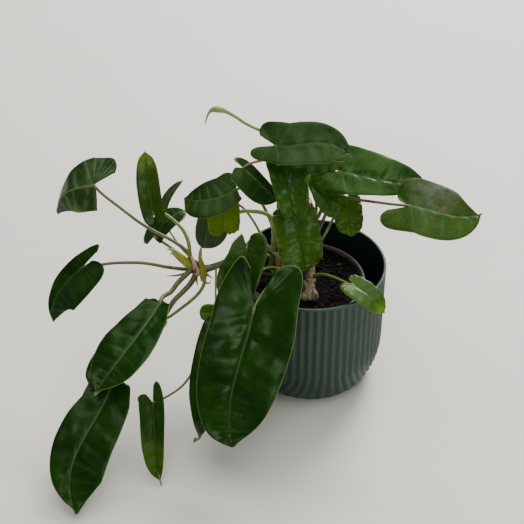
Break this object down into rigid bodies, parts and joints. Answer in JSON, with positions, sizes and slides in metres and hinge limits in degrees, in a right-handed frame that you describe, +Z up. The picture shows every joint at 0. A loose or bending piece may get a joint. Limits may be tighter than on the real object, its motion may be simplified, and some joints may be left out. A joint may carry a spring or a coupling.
{
  "type": "potted trailing foliage plant",
  "caption": "Potted trailing houseplant with long lobed leaves on thin stalks, one stem hanging over the rim, in a nursery pot inside a ribbed round outer pot.",
  "frame": {"origin": "centre of the outer pot's flat base, on the surface it stands on", "axes": "+Z up, -Y towards the plant's front, +X to the right seen from the front"},
  "size_m": [0.397, 0.2805, 0.2742],
  "materials": {
    "outer_pot_plastic": "matte ribbed dark grey-green plastic",
    "nursery_pot_plastic": "thin matte brown plastic",
    "soil": "loose dark potting soil with bark, rough and matte",
    "old_stem_bark": "pale dry gnarled stem, matte",
    "stem_skin": "green-brown stem skin, half matte",
    "leaf_dark": "grown leaf, dark green, half gloss",
    "leaf_mid": "younger leaf, mid green, half gloss",
    "leaf_young": "young leaf, bright yellow-green, satin",
    "leaf_under": "leaf seen from its paler grey-green underside, matte",
    "leaf_new": "rolled new leaf, light green, satin"
  },
  "bodies": {
    "root": {"outer_pot": "outer_pot_plastic", "nursery_pot": "nursery_pot_plastic", "soil": "soil", "old_stem": "old_stem_bark", "trailing_stem": "stem_skin", "leaf_left_curled": "leaf_dark", "leaf_left_upright": "leaf_mid", "leaf_left_young": "leaf_dark", "leaf_left_thin": "leaf_under", "leaf_left_low": "leaf_dark", "leaf_hanging_upper": "leaf_dark", "leaf_hanging_under": "leaf_dark", "leaf_hanging_long": "leaf_dark", "leaf_hanging_slim": "leaf_dark", "leaf_front_under": "leaf_dark", "leaf_front_large": "leaf_dark", "leaf_front_middle": "leaf_dark", "leaf_small_bud": "leaf_young", "leaf_back_left": "leaf_dark", "leaf_left_drooping": "leaf_under", "leaf_young_raised": "leaf_young", "leaf_top": "leaf_dark", "leaf_top_left": "leaf_dark", "leaf_crown_left": "leaf_dark", "leaf_crown_right": "leaf_mid", "leaf_right_upper": "leaf_dark", "leaf_far_right": "leaf_dark", "leaf_right_young": "leaf_young", "leaf_centre": "leaf_mid", "leaf_rim_young": "leaf_young", "leaf_new_rolled": "leaf_new"}
  },
  "joints": []
}
